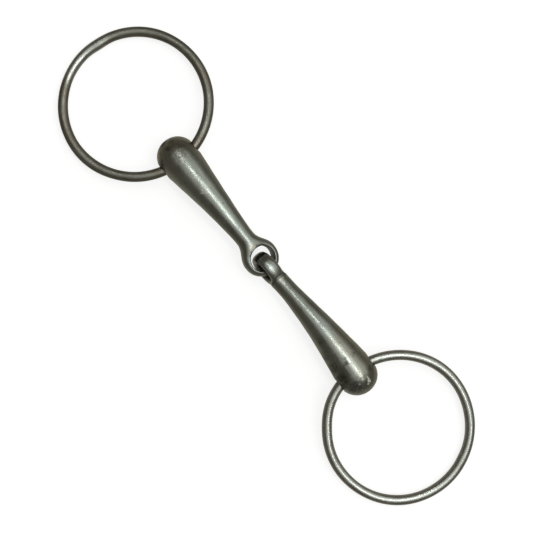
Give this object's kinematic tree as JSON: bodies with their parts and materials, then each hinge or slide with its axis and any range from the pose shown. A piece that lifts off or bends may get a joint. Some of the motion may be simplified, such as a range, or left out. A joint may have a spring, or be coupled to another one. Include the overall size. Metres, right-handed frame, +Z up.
{
  "type": "snaffle bit",
  "caption": "Loose ring snaffle bit with a single-jointed tapered mouthpiece whose arms link by interlocking eyes, and a round wire ring hinged through each outer end.",
  "frame": {"origin": "on the surface the bit lies on, midway between the two ring holes", "axes": "+X along the mouthpiece from the left ring to the right ring, +Z up from the surface, +Y across the mouthpiece to complete a right-handed frame"},
  "size_m": [0.2828, 0.0776, 0.0217],
  "materials": {
    "cannon_steel": "satin, worn and slightly tarnished",
    "ring_steel": "satin, worn bright in places"
  },
  "bodies": {
    "left_cannon": {"left_cannon": "cannon_steel"},
    "right_cannon": {"right_cannon": "cannon_steel"},
    "left_ring": {"left_ring": "ring_steel"},
    "right_ring": {"right_ring": "ring_steel"}
  },
  "joints": [
    {"name": "mouth_fold", "type": "hinge", "parent": "left_cannon", "child": "right_cannon", "pos_m": [0.00142, -0.00045, 0.00916], "axis": [0.0221, -0.9737, 0.2267], "range_deg": [-75, 75]},
    {"name": "left_ring_swing", "type": "hinge", "parent": "left_cannon", "child": "left_ring", "pos_m": [-0.0675, 0, 0.01055], "axis": [0, 1, 0], "range_deg": [-83, 97]},
    {"name": "right_ring_swing", "type": "hinge", "parent": "right_cannon", "child": "right_ring", "pos_m": [0.0675, 0, 0.01055], "axis": [0, -1, 0], "range_deg": [-83, 97]}
  ]
}
